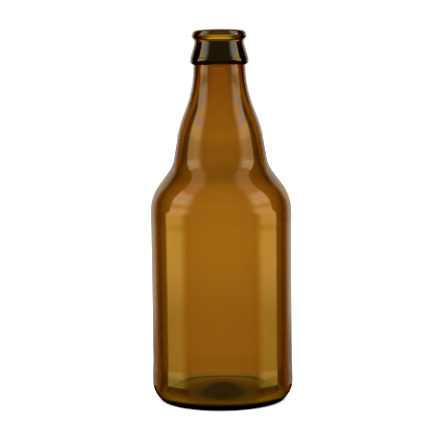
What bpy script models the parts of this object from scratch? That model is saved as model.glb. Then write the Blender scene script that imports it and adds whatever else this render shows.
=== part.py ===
"""An empty 33 cl steinie beer bottle of amber glass, with an open 26 mm crown finish.

The bottle is one turned piece of glass. It stands upright on the ring at its foot, with the
origin at the centre of that ring. Half of its section is drawn as corners joined by straight
lines, each corner is rounded by its own radius, and a Screw modifier turns the result about Z.
"""

from math import acos, ceil, cos, hypot, sin, tan
from typing import NamedTuple

import bpy

MM = 0.001

# Heights above the table, in millimetres
HEIGHT = 177.5
LOCKING_RING_HEIGHT = 174.5
GROOVE_HEIGHT = 173.0
BEAD_HEIGHT = 163.2
NECK_TOP_HEIGHT = 160.9
NECK_FOOT_HEIGHT = 150.1
BULGE_HEIGHT = 131.4
WAIST_HEIGHT = 113.3
SHOULDER_HEIGHT = 98.7
UPPER_CONTACT_HEIGHT = 88.2
PANEL_TOP_HEIGHT = 83.4
PANEL_FOOT_HEIGHT = 19.3
LOWER_CONTACT_HEIGHT = 16.9
HEEL_HEIGHT = 5.1

# Diameters of the outside, in millimetres
LIP_DIAMETER = 24.8
LOCKING_RING_DIAMETER = 26.6
GROOVE_DIAMETER = 22.8
BEAD_DIAMETER = 27.9
NECK_TOP_DIAMETER = 24.9
NECK_FOOT_DIAMETER = 25.2
BULGE_DIAMETER = 39.9
WAIST_DIAMETER = 46.2
SHOULDER_DIAMETER = 67.9
BODY_DIAMETER = 68.4
PANEL_TOP_DIAMETER = 68.0
PANEL_FOOT_DIAMETER = 67.7
LOWER_CONTACT_DIAMETER = 68.1
FOOT_DIAMETER = 60.0

# Thickness of the glass, in millimetres
NECK_WALL = 3.4
BULGE_WALL = 2.9
SHOULDER_WALL = 2.6
FOOT_WALL = 2.75

# The mouth, the floor and the hollow under the floor, in millimetres
MOUTH_DIAMETER = 16.9
FLOOR_HEIGHT = 7.4
FLOOR_EDGE_HEIGHT = 3.6
FLOOR_CROWN_DIAMETER = 24.0
BEARING_DIAMETER = 48.6
PUSH_UP_HEIGHT = 3.4
PUSH_UP_CROWN_DIAMETER = 30.0

STEPS = 48
ARC_TOLERANCE = 0.1
AMBER = (0.33, 0.13, 0.006, 1.0)


class Corner(NamedTuple):
    """A corner of the section: its distance from the axis, its height and its rounding."""

    radius: float
    height: float
    rounding: float = 0.0


def direction(start, end):
    """The unit vector from one corner towards another."""
    out, up = end.radius - start.radius, end.height - start.height
    length = hypot(out, up)
    return out / length, up / length


def inside_of(before, corner, after, wall):
    """The corner of the inner surface that lies a wall's thickness inside an outer corner."""
    in_out, in_up = direction(before, corner)
    out_out, out_up = direction(corner, after)
    concave = in_out * out_up - in_up * out_out > 0
    shift = wall / (1 + in_out * out_out + in_up * out_up)
    return Corner(
        corner.radius + (in_up + out_up) * shift,
        corner.height - (in_out + out_out) * shift,
        corner.rounding + (wall if concave else -wall),
    )


def arc(before, corner, after):
    """The points of the arc that rounds a corner, tangent to the lines on both sides of it."""
    in_out, in_up = direction(before, corner)
    out_out, out_up = direction(corner, after)
    turn = acos(in_out * out_out + in_up * out_up)
    side = 1 if in_out * out_up - in_up * out_out > 0 else -1
    reach = corner.rounding * tan(turn / 2)
    pieces = ceil(turn / 2 / acos(1 - ARC_TOLERANCE / corner.rounding))
    points = []
    for piece in range(pieces + 1):
        angle = turn * piece / pieces
        along = corner.rounding * sin(angle) - reach
        across = side * corner.rounding * (1 - cos(angle))
        points.append((
            corner.radius + in_out * along - in_up * across,
            corner.height + in_up * along + in_out * across,
        ))
    return points


def outline(corners):
    """The section's points: the first and last corner as they are, the others rounded."""
    points = [corners[0][:2]]
    for before, corner, after in zip(corners, corners[1:], corners[2:]):
        points += arc(before, corner, after)
    return points + [corners[-1][:2]]


def finish():
    """The crown finish, outside: rounded lip, locking ring, groove and bead."""
    return [
        Corner(LIP_DIAMETER / 2, HEIGHT, 1.6),
        Corner(LOCKING_RING_DIAMETER / 2, LOCKING_RING_HEIGHT, 1.0),
        Corner(GROOVE_DIAMETER / 2, GROOVE_HEIGHT, 2.6),
        Corner(BEAD_DIAMETER / 2, BEAD_HEIGHT + 1.1, 5.0),
        Corner(BEAD_DIAMETER / 2, BEAD_HEIGHT - 1.1, 1.5),
        Corner(NECK_TOP_DIAMETER / 2, NECK_TOP_HEIGHT, 1.0),
    ]


def body():
    """The neck's foot, the bulge, the waist and the shoulder, outside."""
    return [
        Corner(NECK_FOOT_DIAMETER / 2, NECK_FOOT_HEIGHT, 54.0),
        Corner(BULGE_DIAMETER / 2, BULGE_HEIGHT, 61.0),
        Corner(WAIST_DIAMETER / 2, WAIST_HEIGHT, 14.7),
        Corner(SHOULDER_DIAMETER / 2, SHOULDER_HEIGHT, 21.5),
    ]


def foot():
    """The label panel between its two contact rings, the heel and the foot, outside."""
    return [
        Corner(BODY_DIAMETER / 2, UPPER_CONTACT_HEIGHT, 23.0),
        Corner(PANEL_TOP_DIAMETER / 2, PANEL_TOP_HEIGHT, 22.0),
        Corner(PANEL_FOOT_DIAMETER / 2, PANEL_FOOT_HEIGHT, 12.0),
        Corner(LOWER_CONTACT_DIAMETER / 2, LOWER_CONTACT_HEIGHT, 12.0),
        Corner(BODY_DIAMETER / 2, HEEL_HEIGHT, 10.6),
        Corner(FOOT_DIAMETER / 2, 0, 1.8),
    ]


def underside():
    """The bearing ring's inner edge and the shallow push-up, to the axis."""
    return [
        Corner(BEARING_DIAMETER / 2, 0, 1.5),
        Corner(PUSH_UP_CROWN_DIAMETER / 2, PUSH_UP_HEIGHT, 40.0),
        Corner(0, PUSH_UP_HEIGHT),
    ]


def inside():
    """The inner surface, from the middle of the floor up to the mouth."""
    outside = [finish()[-1], *body(), foot()[0]]
    walls = (NECK_WALL, BULGE_WALL, BULGE_WALL, SHOULDER_WALL)
    moved = [
        inside_of(before, corner, after, wall)
        for before, corner, after, wall in zip(outside, outside[1:], outside[2:], walls)
    ]
    return [
        Corner(0, FLOOR_HEIGHT),
        Corner(FLOOR_CROWN_DIAMETER / 2, FLOOR_HEIGHT, 110.0),
        Corner(PANEL_FOOT_DIAMETER / 2 - FOOT_WALL, FLOOR_EDGE_HEIGHT, 3.0),
        *reversed(moved),
        Corner(MOUTH_DIAMETER / 2, NECK_TOP_HEIGHT, 10.0),
        Corner(MOUTH_DIAMETER / 2, HEIGHT, 1.2),
    ]


def amber_glass():
    """Brown bottle glass."""
    material = bpy.data.materials.new("amber_glass")
    material.use_nodes = True
    shader = material.node_tree.nodes["Principled BSDF"]
    shader.inputs["Base Color"].default_value = AMBER
    shader.inputs["Metallic"].default_value = 0.0
    shader.inputs["Roughness"].default_value = 0.03
    shader.inputs["IOR"].default_value = 1.52
    shader.inputs["Transmission Weight"].default_value = 1.0
    return material


def turned(name, corners, material):
    """An object turned from a section about Z."""
    points = outline(corners)
    mesh = bpy.data.meshes.new(name)
    mesh.from_pydata(
        [(radius * MM, 0, height * MM) for radius, height in points],
        [(i, i + 1) for i in range(len(points) - 1)],
        [],
    )
    mesh.materials.append(material)
    turned_object = bpy.data.objects.new(name, mesh)
    screw = turned_object.modifiers.new("Turn", "SCREW")
    screw.steps = STEPS
    screw.render_steps = STEPS
    screw.use_merge_vertices = True
    screw.merge_threshold = 0.00001
    screw.use_smooth_shade = True
    return turned_object


def main():
    """Clear the scene and build the bottle in a collection of its own."""
    for scene_object in list(bpy.data.objects):
        bpy.data.objects.remove(scene_object)
    collection = bpy.data.collections.new("steinie_bottle")
    bpy.context.scene.collection.children.link(collection)
    corners = [*inside(), *finish(), *body(), *foot(), *underside()]
    collection.objects.link(turned("bottle", corners, amber_glass()))


main()
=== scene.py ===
"""The looks of an empty steinie beer bottle: amber glass on a pale studio floor.

The bottle is modelled again as one fine mesh of hollow glass, which stands in for the faceted
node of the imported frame. It is drawn as half a section and turned about Z. The section's sizes
are in millimetres, angles of the light are in degrees, and everything else is in metres.
"""

import logging
from dataclasses import dataclass, field
from math import atan2, ceil, pi, radians, sin, tan
from typing import Any, NamedTuple

import bmesh
import bpy
from mathutils import Matrix, Vector


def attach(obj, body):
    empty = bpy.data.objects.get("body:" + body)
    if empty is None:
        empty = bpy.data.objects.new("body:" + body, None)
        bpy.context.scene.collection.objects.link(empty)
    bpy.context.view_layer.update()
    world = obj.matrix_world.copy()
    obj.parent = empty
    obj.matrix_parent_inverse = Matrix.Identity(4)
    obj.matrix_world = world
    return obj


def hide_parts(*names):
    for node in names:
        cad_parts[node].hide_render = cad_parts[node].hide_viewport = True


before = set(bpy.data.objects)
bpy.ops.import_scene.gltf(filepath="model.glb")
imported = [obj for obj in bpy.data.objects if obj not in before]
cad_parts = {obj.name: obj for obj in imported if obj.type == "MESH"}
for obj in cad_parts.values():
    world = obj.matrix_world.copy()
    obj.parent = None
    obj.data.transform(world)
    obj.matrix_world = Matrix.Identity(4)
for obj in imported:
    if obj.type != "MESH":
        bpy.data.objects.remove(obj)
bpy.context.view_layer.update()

LOG = logging.getLogger("steinie_bottle")
MM = 0.001
IMAGE_SIDE = 440


# ---------------------------------------------------------------- shader maths


class Socket:
    """A value in a node tree that can be used in Python expressions.

    Args:
        bench: The bench that adds the nodes.
        link: The output socket that carries the value.
    """

    def __init__(self, bench: "NodeBench", link: bpy.types.NodeSocket) -> None:
        """Keep the bench and the output socket."""
        self.bench = bench
        self.link = link

    def _math(self, operation: str, *values: Any) -> "Socket":
        """One Math node over these values."""
        return self.bench.node("ShaderNodeMath", {"operation": operation}, values)

    def __add__(self, other: Any) -> "Socket":
        """self + other."""
        return self._math("ADD", self, other)

    def __sub__(self, other: Any) -> "Socket":
        """self - other."""
        return self._math("SUBTRACT", self, other)

    def __mul__(self, other: Any) -> "Socket":
        """self * other."""
        return self._math("MULTIPLY", self, other)

    def __radd__(self, other: Any) -> "Socket":
        """other + self."""
        return self._math("ADD", other, self)

    def __rsub__(self, other: Any) -> "Socket":
        """other - self."""
        return self._math("SUBTRACT", other, self)

    def __rmul__(self, other: Any) -> "Socket":
        """other * self."""
        return self._math("MULTIPLY", other, self)

    def __abs__(self) -> "Socket":
        """The absolute value."""
        return self._math("ABSOLUTE", self)

    def ramp(self, low: float, high: float) -> "Socket":
        """A smooth step.

        Args:
            low: The value at which the step is still 0.
            high: The value from which the step is 1. It may lie below low.

        Returns:
            The step, from 0 to 1.
        """
        settings = {"interpolation_type": "SMOOTHSTEP", "clamp": True}
        return self.bench.node("ShaderNodeMapRange", settings, (self, low, high, 0.0, 1.0))


class NodeBench:
    """Adds the nodes of one material or world, with links where values are sockets.

    Args:
        tree: The node tree to work in, which is emptied first.
    """

    def __init__(self, tree: bpy.types.NodeTree) -> None:
        """Empty the tree."""
        self.tree = tree
        tree.nodes.clear()

    def node(self, kind: str, settings: dict[str, Any], values: Any, output: Any = 0) -> Socket:
        """Add a node.

        Args:
            kind: The node's type.
            settings: Its properties, which are set before its sockets.
            values: What goes into its inputs, by name in a dict or in order in a tuple.
            output: The name or number of the output to return.

        Returns:
            The chosen output.
        """
        made = self.tree.nodes.new(kind)
        for name, value in settings.items():
            setattr(made, name, value)
        pairs = values.items() if isinstance(values, dict) else enumerate(values)
        for key, value in pairs:
            if isinstance(value, Socket):
                self.tree.links.new(value.link, made.inputs[key])
            else:
                made.inputs[key].default_value = value
        if not made.outputs:
            return Socket(self, None)
        return Socket(self, made.outputs[output])

    def blend(self, share: Socket, without: Any, full: Any) -> Socket:
        """A blend of two colours.

        Args:
            share: How much of the second colour there is, from 0 to 1.
            without: The colour where the share is 0.
            full: The colour where the share is 1.

        Returns:
            The blended colour.
        """
        settings = {"data_type": "RGBA", "clamp_factor": False}
        return self.node("ShaderNodeMix", settings, {0: share, 6: without, 7: full}, 2)


# -------------------------------------------------------------------- finishes


@dataclass(frozen=True)
class AmberGlass:
    """Brown bottle glass, coloured through its thickness, and darkened by painted shade in places.

    A pair of heights or radii says where a painted shade begins and where it is full.

    Attributes:
        loss_per_mm: The loss of red, green and blue light in a millimetre of glass, as natural
            logarithms.
        ior: The refractive index.
        ripple_pitch: The width of the faint ripples of the surface.
        ripple_height: The height of those ripples.
        finish_painted_shade: The painted shade at the bead and the lip, as a share of light.
        floor_painted_shade: The painted shade at the floor and under it, as a share of light.
        foot_painted_shade: The painted shade at the bottom of the wall, as a share of light.
        waist_painted_shade: The painted shade at the waist, as a share of light.
        bead_foot: The lower edge of the painted shade on the bead.
        bead_top: Its upper edge.
        lip_foot: The lower edge of the painted shade on the lip.
        lip_edge: The radius of its inner edge.
        floor_top: The top of the painted shade on the floor.
        floor_rim: The radius of its edge.
        foot_top: The top of the painted shade on the foot.
        waist_foot: The lower edge of the painted shade on the waist.
        waist_top: Its upper edge.
    """

    loss_per_mm: tuple[float, float, float] = (0.178, 0.361, 0.99)
    ior: float = 1.52
    ripple_pitch: float = 14 * MM
    ripple_height: float = 0.004 * MM
    # painted shade: shares of light taken out of the glass's colour at these parts
    finish_painted_shade: float = 0.9
    floor_painted_shade: float = 0.985
    foot_painted_shade: float = 0.6
    waist_painted_shade: float = 0.15
    bead_foot: tuple[float, float] = (161.0 * MM, 162.0 * MM)
    bead_top: tuple[float, float] = (172.4 * MM, 171.8 * MM)
    lip_foot: tuple[float, float] = (174.7 * MM, 175.1 * MM)
    lip_edge: tuple[float, float] = (9.5 * MM, 10.5 * MM)
    floor_top: tuple[float, float] = (9.0 * MM, 8.5 * MM)
    floor_rim: tuple[float, float] = (30.6 * MM, 29.6 * MM)
    foot_top: tuple[float, float] = (10.0 * MM, 1.0 * MM)
    waist_foot: tuple[float, float] = (103 * MM, 107 * MM)
    waist_top: tuple[float, float] = (129 * MM, 121 * MM)

    def painted_shade(self, bench: NodeBench, place: Socket) -> Socket:
        """Painted shade: darker glass at the bead, the lip, the floor, the foot and the waist.

        Args:
            bench: The bench of the material.
            place: The Object coordinates.

        Returns:
            The share of the light that the painted shade takes out, from 0 to 1.
        """
        x = bench.node("ShaderNodeSeparateXYZ", {}, (place,), "X")
        y, z = (Socket(bench, x.link.node.outputs[axis]) for axis in "YZ")
        squared = x * x + y * y
        off_the_mouth = squared.ramp(*(radius**2 for radius in self.lip_edge))
        over_the_ring = squared.ramp(*(radius**2 for radius in self.floor_rim))
        bead = z.ramp(*self.bead_foot) * z.ramp(*self.bead_top)
        lip = off_the_mouth * z.ramp(*self.lip_foot)
        floor = over_the_ring * z.ramp(*self.floor_top)
        foot = z.ramp(*self.foot_top) * (1 - floor)
        waist = z.ramp(*self.waist_foot) * z.ramp(*self.waist_top)
        # painted shade, summed over the bead, the lip, the floor, the foot and the waist
        dark = (bead + lip) * self.finish_painted_shade + floor * self.floor_painted_shade
        return dark + foot * self.foot_painted_shade + waist * self.waist_painted_shade

    def material(self) -> bpy.types.Material:
        """Make the material.

        Returns:
            The finished material.
        """
        made = bpy.data.materials.new("amber_glass")
        made.use_nodes = True
        bench = NodeBench(made.node_tree)
        place = bench.node("ShaderNodeTexCoord", {}, {}, "Object")
        ripples = bench.node(
            "ShaderNodeTexNoise",
            {},
            {"Vector": place, "Scale": 1 / self.ripple_pitch, "Detail": 1.0},
        )
        relief = bench.node(
            "ShaderNodeBump",
            {},
            {"Height": ripples, "Strength": 1.0, "Distance": self.ripple_height},
        )
        surface = bench.node(
            "ShaderNodeBsdfPrincipled",
            {},
            {
                # painted shade in Base Color: darker at the bead, lip, floor, foot and waist
                "Base Color": 1 - self.painted_shade(bench, place),
                "Roughness": 0.0,
                "IOR": self.ior,
                "Transmission Weight": 1.0,
                "Normal": relief,
            },
        )
        strongest = max(self.loss_per_mm)
        colour = [1 - loss / strongest for loss in self.loss_per_mm]
        depth = bench.node(
            "ShaderNodeVolumeAbsorption",
            {},
            {"Color": (*colour, 1.0), "Density": strongest / MM},
        )
        bench.node("ShaderNodeOutputMaterial", {}, {"Surface": surface, "Volume": depth})
        return made


@dataclass(frozen=True)
class PaleFloor:
    """The matt white paper that the bottle stands on."""

    colour: tuple[float, float, float] = (0.86, 0.86, 0.86)

    def material(self) -> bpy.types.Material:
        """Make the material.

        Returns:
            The finished material.
        """
        made = bpy.data.materials.new("pale_floor")
        made.use_nodes = True
        bench = NodeBench(made.node_tree)
        surface = bench.node(
            "ShaderNodeBsdfDiffuse", {}, {"Color": (*self.colour, 1.0), "Roughness": 0.0}
        )
        bench.node("ShaderNodeOutputMaterial", {}, {"Surface": surface})
        return made


# ------------------------------------------------------------------- the bottle


class Corner(NamedTuple):
    """A corner of a section, in millimetres: its distance from the axis, its height and the
    radius that rounds it."""

    radius: float
    height: float
    rounding: float = 0.0


class SectionPen:
    """Draws half a section in the XZ plane as a chain of short edges.

    Args:
        bm: The mesh to draw in.
        start: The point to start from.
        longest: The longest edge that a straight run or a wide arc may have.
    """

    SHARPEST = radians(6)
    NOTHING = 1e-7

    def __init__(self, bm: bmesh.types.BMesh, start: Vector, longest: float) -> None:
        """Put the pen down at the start."""
        self.bm = bm
        self.longest = longest
        self.tip = bmesh.ops.create_vert(bm, co=start)["vert"][0]

    def straight(self, target: Vector) -> None:
        """Draw a straight run.

        Args:
            target: The point to draw to.
        """
        run = target - self.tip.co
        if run.length < self.NOTHING:
            return
        steps = ceil(run.length / self.longest)
        for _ in range(steps):
            self.tip = bmesh.ops.extrude_vert_indiv(self.bm, verts=[self.tip])["verts"][0]
            bmesh.ops.translate(self.bm, verts=[self.tip], vec=run / steps)

    def arc(self, centre: Vector, left_turn: float) -> None:
        """Draw an arc about a centre.

        Args:
            centre: The centre of the arc.
            left_turn: The angle through which the line bends to its left, in radians.
        """
        length = (self.tip.co - centre).length * abs(left_turn)
        steps = max(ceil(abs(left_turn) / self.SHARPEST), ceil(length / self.longest))
        turned = bmesh.ops.spin(
            self.bm,
            geom=[self.tip],
            cent=centre,
            axis=(0, 1, 0),
            dvec=(0, 0, 0),
            angle=-left_turn,
            steps=steps,
            use_merge=False,
        )
        self.tip = next(v for v in turned["geom_last"] if isinstance(v, bmesh.types.BMVert))

    def corner(self, before: Vector, here: Vector, after: Vector, rounding: float) -> None:
        """Draw up to a corner and round it, so that the pen stops on the line that leaves it.

        Args:
            before: The corner before.
            here: The corner itself.
            after: The corner after.
            rounding: The radius that rounds it.
        """
        coming = (here - before).normalized()
        going = (after - here).normalized()
        left_turn = atan2(coming.x * going.z - coming.z * going.x, coming.dot(going))
        reach = rounding * tan(abs(left_turn) / 2)
        start = here - coming * reach
        self.straight(start)
        if rounding:
            side = 1 if left_turn > 0 else -1
            to_left = Vector((-coming.z, 0, coming.x))
            self.arc(start + to_left * rounding * side, left_turn)


@dataclass
class BottleSection:
    """Half of the bottle's section, in millimetres."""

    height: float = 177.5
    lip_radius: float = 12.4
    ring_height: float = 174.5
    ring_radius: float = 13.3
    groove_height: float = 173.0
    groove_radius: float = 11.4
    bead_top_height: float = 164.3
    bead_foot_height: float = 162.1
    bead_radius: float = 13.95
    undercut_height: float = 161.1
    undercut_radius: float = 12.25
    neck_top_height: float = 160.5
    neck_top_radius: float = 12.45
    neck_foot_height: float = 150.1
    neck_foot_radius: float = 12.6
    bulge_height: float = 131.4
    bulge_radius: float = 19.95
    waist_height: float = 113.3
    waist_radius: float = 23.1
    shoulder_height: float = 98.7
    shoulder_radius: float = 33.95
    upper_contact_height: float = 88.2
    upper_contact_radius: float = 34.2
    panel_top_height: float = 83.4
    panel_top_radius: float = 34.0
    panel_foot_height: float = 18.5
    panel_foot_radius: float = 33.85
    lower_contact_height: float = 13.8
    lower_contact_radius: float = 34.1
    heel_height: float = 5.1
    heel_radius: float = 34.15
    foot_radius: float = 30.0
    bearing_radius: float = 24.3
    standing_height: float = 0.12
    push_up_height: float = 4.2
    push_up_radius: float = 6.0
    floor_height: float = 8.1
    floor_crown_radius: float = 3.6
    floor_edge_height: float = 2.5
    floor_edge_radius: float = 31.0
    hollow_radius: float = 31.4
    hollow_shoulder_height: float = 97.8
    hollow_waist_radius: float = 20.36
    hollow_waist_height: float = 112.1
    hollow_bulge_radius: float = 17.14
    hollow_bulge_height: float = 130.6
    hollow_neck_radius: float = 9.2
    hollow_neck_height: float = 149.4
    mouth_radius: float = 8.45
    mouth_foot_height: float = 160.9

    def finish(self) -> list[Corner]:
        """The crown finish, outside: rounded lip, locking ring, groove and bead."""
        return [
            Corner(self.lip_radius, self.height, 1.6),
            Corner(self.ring_radius, self.ring_height, 1.0),
            Corner(self.groove_radius, self.groove_height, 2.6),
            Corner(self.bead_radius, self.bead_top_height, 5.0),
            Corner(self.bead_radius, self.bead_foot_height, 1.5),
            Corner(self.undercut_radius, self.undercut_height, 0.5),
            Corner(self.neck_top_radius, self.neck_top_height, 1.0),
        ]

    def body(self) -> list[Corner]:
        """The neck's foot, the bulge, the waist and the shoulder, outside."""
        return [
            Corner(self.neck_foot_radius, self.neck_foot_height, 54.0),
            Corner(self.bulge_radius, self.bulge_height, 61.0),
            Corner(self.waist_radius, self.waist_height, 14.7),
            Corner(self.shoulder_radius, self.shoulder_height, 21.5),
        ]

    def foot(self) -> list[Corner]:
        """The label panel between its contact rings, the heel and the foot, outside."""
        return [
            Corner(self.upper_contact_radius, self.upper_contact_height, 23.0),
            Corner(self.panel_top_radius, self.panel_top_height, 22.0),
            Corner(self.panel_foot_radius, self.panel_foot_height, 40.0),
            Corner(self.lower_contact_radius, self.lower_contact_height, 40.0),
            Corner(self.heel_radius, self.heel_height, 10.6),
            Corner(self.foot_radius, self.standing_height, 1.8),
        ]

    def underside(self) -> list[Corner]:
        """The bearing ring's inner edge and the shallow push-up, to the axis."""
        return [
            Corner(self.bearing_radius, self.standing_height, 1.5),
            Corner(self.push_up_radius, self.push_up_height, 25.0),
            Corner(0.0, self.push_up_height),
        ]

    def hollow(self) -> list[Corner]:
        """The inner corners from the middle of the floor up to the mouth."""
        return [
            Corner(0.0, self.floor_height),
            Corner(self.floor_crown_radius, self.floor_height, 18.0),
            Corner(self.floor_edge_radius, self.floor_edge_height, 1.5),
            Corner(self.hollow_radius, self.hollow_shoulder_height, 18.9),
            Corner(self.hollow_waist_radius, self.hollow_waist_height, 17.6),
            Corner(self.hollow_bulge_radius, self.hollow_bulge_height, 58.1),
            Corner(self.hollow_neck_radius, self.hollow_neck_height, 57.4),
            Corner(self.mouth_radius, self.mouth_foot_height, 10.0),
            Corner(self.mouth_radius, self.height, 1.2),
        ]

    def corners(self) -> list[Corner]:
        """The whole section, up the hollow and down the outside."""
        return [
            *self.hollow(),
            *self.finish(),
            *self.body(),
            *self.foot(),
            *self.underside(),
        ]


@dataclass
class BottleGlass:
    """The bottle as one fine mesh of hollow glass."""

    section: BottleSection = field(default_factory=BottleSection)
    finish: AmberGlass = field(default_factory=AmberGlass)
    turns: int = 256
    longest_edge: float = 2.2 * MM
    same_point: float = 0.001 * MM

    def build(self) -> bpy.types.Object:
        """Model and dress the glass, and put it in the node's place.

        Returns:
            The finished piece.
        """
        bm = bmesh.new()
        self.draw(bm)
        self.turn(bm)
        mesh = bpy.data.meshes.new("bottle_glass")
        bm.to_mesh(mesh)
        bm.free()
        mesh.shade_smooth()
        mesh.materials.append(self.finish.material())
        piece = bpy.data.objects.new("bottle_glass", mesh)
        bpy.context.scene.collection.objects.link(piece)
        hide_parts("bottle")
        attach(piece, "root")
        return piece

    def draw(self, bm: bmesh.types.BMesh) -> None:
        """Draw the section, round the hollow and then down the outside.

        Args:
            bm: The mesh to draw in.
        """
        corners = self.section.corners()
        points = [Vector((c.radius, 0, c.height)) * MM for c in corners]
        pen = SectionPen(bm, points[0], self.longest_edge)
        for before, here, after, corner in zip(points, points[1:], points[2:], corners[1:]):
            pen.corner(before, here, after, corner.rounding * MM)
        pen.straight(points[-1])

    def turn(self, bm: bmesh.types.BMesh) -> None:
        """Turn the section about Z, and close it on the axis.

        Args:
            bm: The mesh that holds the section.
        """
        bmesh.ops.spin(
            bm,
            geom=bm.verts[:] + bm.edges[:],
            cent=(0, 0, 0),
            axis=(0, 0, 1),
            dvec=(0, 0, 0),
            angle=2 * pi,
            steps=self.turns,
            use_merge=True,
        )
        bmesh.ops.remove_doubles(bm, verts=bm.verts[:], dist=self.same_point)
        bmesh.ops.recalc_face_normals(bm, faces=bm.faces[:])


# ------------------------------------------------------------------- the studio


class RoomLight:
    """The light of the room, as the floor sees it and as the glass bends or mirrors it.

    A backdrop glows behind the bottle down to the edge of the table, a softbox hangs on each
    side, and the rest of the room is dim. The light is a function of the bearing, which is 0
    behind the bottle and 180 degrees at the camera, and of the elevation. A pair of bearings or
    elevations says where a light begins and where it is full. Each line of SOFTBOX is such a pair
    of elevations and the colour that the softbox has from there up.

    Args:
        bench: The bench of the world's node tree.
    """

    SEEN = (1.0, 1.0, 1.0, 1.0)
    ON_THE_FLOOR = (3.5, 3.5, 3.5, 1.0)
    BLACK = (0.0, 0.0, 0.0, 1.0)

    BACKDROP = (1.0, 1.0, 1.0, 1.0)
    CEILING = (1.15, 1.35, 0.9, 1.0)
    CEILING_EDGE = (6.0, 12.0)
    BACKDROP_LEVEL = 0.77
    BACKDROP_RISE = 0.17
    BACKDROP_FOOT = (-9.5, -6.0)
    HORIZON_LOSS = 0.08
    BACKDROP_HORIZON = (-0.5, 0.6)
    TOP_LOSS = 0.7
    BACKDROP_TOP = (26.0, 31.0)
    SIDE_GAP_LOSS = 0.85
    SIDE_GAP_START = (3.0, 20.0)
    SIDE_GAP_END = (34.0, 24.0)
    TABLE_PATCH_LOSS = 0.95
    TABLE_PATCH_SIDE = (60.0, 42.0)
    TABLE_PATCH_TOP = (-50.0, -58.0)
    TABLE_PATCH_FOOT = (-84.0, -80.0)

    WALL_BEHIND = (1.15, 0.95, 0.7, 1.0)
    WALL_SIDE = (52.0, 36.0)
    WALL_FOOT = (-13.8, -13.0)
    WALL_FULL = (-10.5, -8.0)
    WALL_LEVEL = 0.45
    WALL_RISE = 0.5
    DIM_ROOM = (0.24, 0.19, 0.05, 1.0)
    DIM_ROOM_HEIGHT = (-60.0, -12.0)
    DIM_ROOM_SIDE = (118.0, 130.0)

    TABLE_EDGE = (-12.1, -11.6)
    SOFTBOX_BACK = (78.0, 82.0)
    SOFTBOX_FRONT = (126.0, 106.0)
    SOFTBOX_LEAN = 9.0
    SOFTBOX_LEAN_HEIGHT = (-2.0, 4.0)
    SOFTBOX_FOOT = (2.1, 1.6, 0.2, 1.0)
    SOFTBOX = (
        (-9.5, -6.5, (4.1, 2.9, 0.55, 1.0)),
        (-3.0, 1.0, (5.2, 3.2, 1.15, 1.0)),
        (7.0, 11.0, (2.9, 1.9, 0.7, 1.0)),
        (15.0, 20.0, (4.6, 3.4, 1.3, 1.0)),
        (27.0, 28.5, (3.0, 2.8, 2.6, 1.0)),
        (31.5, 33.0, (4.4, 3.0, 1.2, 1.0)),
        (38.0, 46.0, (1.8, 1.1, 0.5, 1.0)),
    )

    def __init__(self, bench: NodeBench) -> None:
        """Read the direction of a ray and its kind."""
        self.bench = bench
        way = bench.node("ShaderNodeTexCoord", {}, {}, "Generated")
        x = bench.node("ShaderNodeSeparateXYZ", {}, (way,), "X")
        axes = x.link.node.outputs
        self.height = Socket(bench, axes["Z"])
        turn = bench.node("ShaderNodeMath", {"operation": "ARCTAN2"}, (x, Socket(bench, axes["Y"])))
        self.bearing = abs(turn)
        self.camera = bench.node("ShaderNodeLightPath", {}, {}, "Is Camera Ray")
        kinds = self.camera.link.node.outputs
        self.bent = Socket(bench, kinds["Is Transmission Ray"])
        self.mirrored = Socket(bench, kinds["Is Glossy Ray"]) * (1 - self.bent)

    def above(self, low: float, high: float) -> Socket:
        """A smooth step from one elevation, in degrees, to another."""
        return self.height.ramp(sin(radians(low)), sin(radians(high)))

    def step(self, bearing: Socket, low: float, high: float) -> Socket:
        """A smooth step of a bearing from one angle, in degrees, to another."""
        return bearing.ramp(radians(low), radians(high))

    def beyond(self, low: float, high: float) -> Socket:
        """A smooth step from one bearing, in degrees, to another."""
        return self.step(self.bearing, low, high)

    def softbox(self) -> Socket:
        """Build up the light of a softbox, from its foot to its top.

        Returns:
            The colour at this elevation.
        """
        light: Any = self.SOFTBOX_FOOT
        for low, high, colour in self.SOFTBOX:
            light = self.bench.blend(self.above(low, high), light, colour)
        return light

    def off_the_glass(self) -> Socket:
        """Put together what the glass mirrors.

        Returns:
            The colour in this direction.
        """
        lean = radians(self.SOFTBOX_LEAN) * self.above(*self.SOFTBOX_LEAN_HEIGHT)
        turned = self.bearing - lean
        beside = self.step(turned, *self.SOFTBOX_BACK) * self.step(turned, *self.SOFTBOX_FRONT)
        dim = self.above(*self.DIM_ROOM_HEIGHT) * self.beyond(*self.DIM_ROOM_SIDE)
        room = self.bench.blend(dim, self.BLACK, self.DIM_ROOM)
        room = self.bench.blend(beside * self.above(*self.TABLE_EDGE), room, self.softbox())
        strength = self.WALL_LEVEL + self.WALL_RISE * self.above(*self.WALL_FULL)
        behind = self.beyond(*self.WALL_SIDE) * self.above(*self.WALL_FOOT) * strength
        return self.bench.blend(behind, room, self.WALL_BEHIND)

    def through_the_glass(self) -> Socket:
        """Put together what is seen through the glass.

        Returns:
            The colour in this direction.
        """
        level = self.BACKDROP_LEVEL + self.BACKDROP_RISE * self.above(*self.BACKDROP_FOOT)
        level = level - self.HORIZON_LOSS * self.above(*self.BACKDROP_HORIZON)
        level = level - self.TOP_LOSS * self.above(*self.BACKDROP_TOP)
        gap = self.beyond(*self.SIDE_GAP_START) * self.beyond(*self.SIDE_GAP_END)
        level = level * (1 - self.SIDE_GAP_LOSS * gap)
        patch = self.beyond(*self.TABLE_PATCH_SIDE) * self.above(*self.TABLE_PATCH_TOP)
        patch = patch * self.above(*self.TABLE_PATCH_FOOT)
        level = level * (1 - self.TABLE_PATCH_LOSS * patch)
        sky = self.bench.blend(self.above(*self.CEILING_EDGE), self.BACKDROP, self.CEILING)
        return self.bench.blend(level, self.BLACK, sky)

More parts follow.
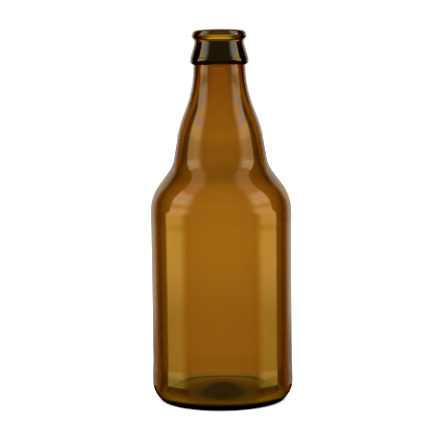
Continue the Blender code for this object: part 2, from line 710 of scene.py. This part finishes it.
    def build(self) -> None:
        """Put the three kinds of light together."""
        seen = self.bench.blend(self.camera, self.ON_THE_FLOOR, self.SEEN)
        seen = self.bench.blend(self.bent, seen, self.through_the_glass())
        seen = self.bench.blend(self.mirrored, seen, self.off_the_glass())
        light = self.bench.node("ShaderNodeBackground", {}, {"Color": seen, "Strength": 1.0})
        self.bench.node("ShaderNodeOutputWorld", {}, {"Surface": light})


@dataclass
class Studio:
    """A pale floor in soft light, and the camera."""

    camera_distance: float = 620 * MM
    camera_height: float = 136.7 * MM
    aim_height: float = 88 * MM
    focal_pixels: float = 1288.3
    roll: float = radians(0.628)
    axis_at: tuple[float, float] = (221.11, 217.58)
    floor_radius: float = 8.0

    def build(self) -> None:
        """Set the whole studio up."""
        self.floor()
        self.camera()
        self.world()
        bpy.context.scene.view_settings.view_transform = "Standard"

    def floor(self) -> None:
        """Lay the floor."""
        bm = bmesh.new()
        bmesh.ops.create_circle(bm, cap_ends=True, segments=64, radius=self.floor_radius)
        mesh = bpy.data.meshes.new("floor")
        bm.to_mesh(mesh)
        bm.free()
        mesh.materials.append(PaleFloor().material())
        floor = bpy.data.objects.new("floor", mesh)
        bpy.context.scene.collection.objects.link(floor)
        floor.visible_glossy = False
        floor.visible_transmission = False

    def camera(self) -> None:
        """Put the camera in front of the bottle and a little above it."""
        data = bpy.data.cameras.new("camera")
        data.sensor_width = 36.0
        data.lens = self.focal_pixels * data.sensor_width / IMAGE_SIDE
        eye = Vector((0, -self.camera_distance, self.camera_height))
        look = (Vector((0, 0, self.aim_height)) - eye).normalized()
        facing = look.to_track_quat("-Z", "Y").to_matrix()
        middle = IMAGE_SIDE / 2
        to_right = (self.axis_at[0] - middle) / self.focal_pixels
        to_bottom = (self.axis_at[1] - middle) / self.focal_pixels
        facing = facing @ Matrix.Rotation(to_right, 3, "Y") @ Matrix.Rotation(to_bottom, 3, "X")
        facing = facing @ Matrix.Rotation(-self.roll, 3, "Z")
        camera = bpy.data.objects.new("camera", data)
        camera.matrix_world = Matrix.Translation(eye) @ facing.to_4x4()
        bpy.context.scene.collection.objects.link(camera)
        bpy.context.scene.camera = camera

    def world(self) -> None:
        """Hang the room's light round the bottle."""
        world = bpy.data.worlds.new("room")
        world.use_nodes = True
        bpy.context.scene.world = world
        RoomLight(NodeBench(world.node_tree)).build()


def main() -> None:
    """Build the bottle and the studio, and report each piece."""
    logging.basicConfig(level=logging.INFO, format="%(name)s: %(message)s")
    glass = BottleGlass().build()
    LOG.info("%s: %d faces", glass.name, len(glass.data.polygons))
    Studio().build()


if __name__ == "__main__":
    main()
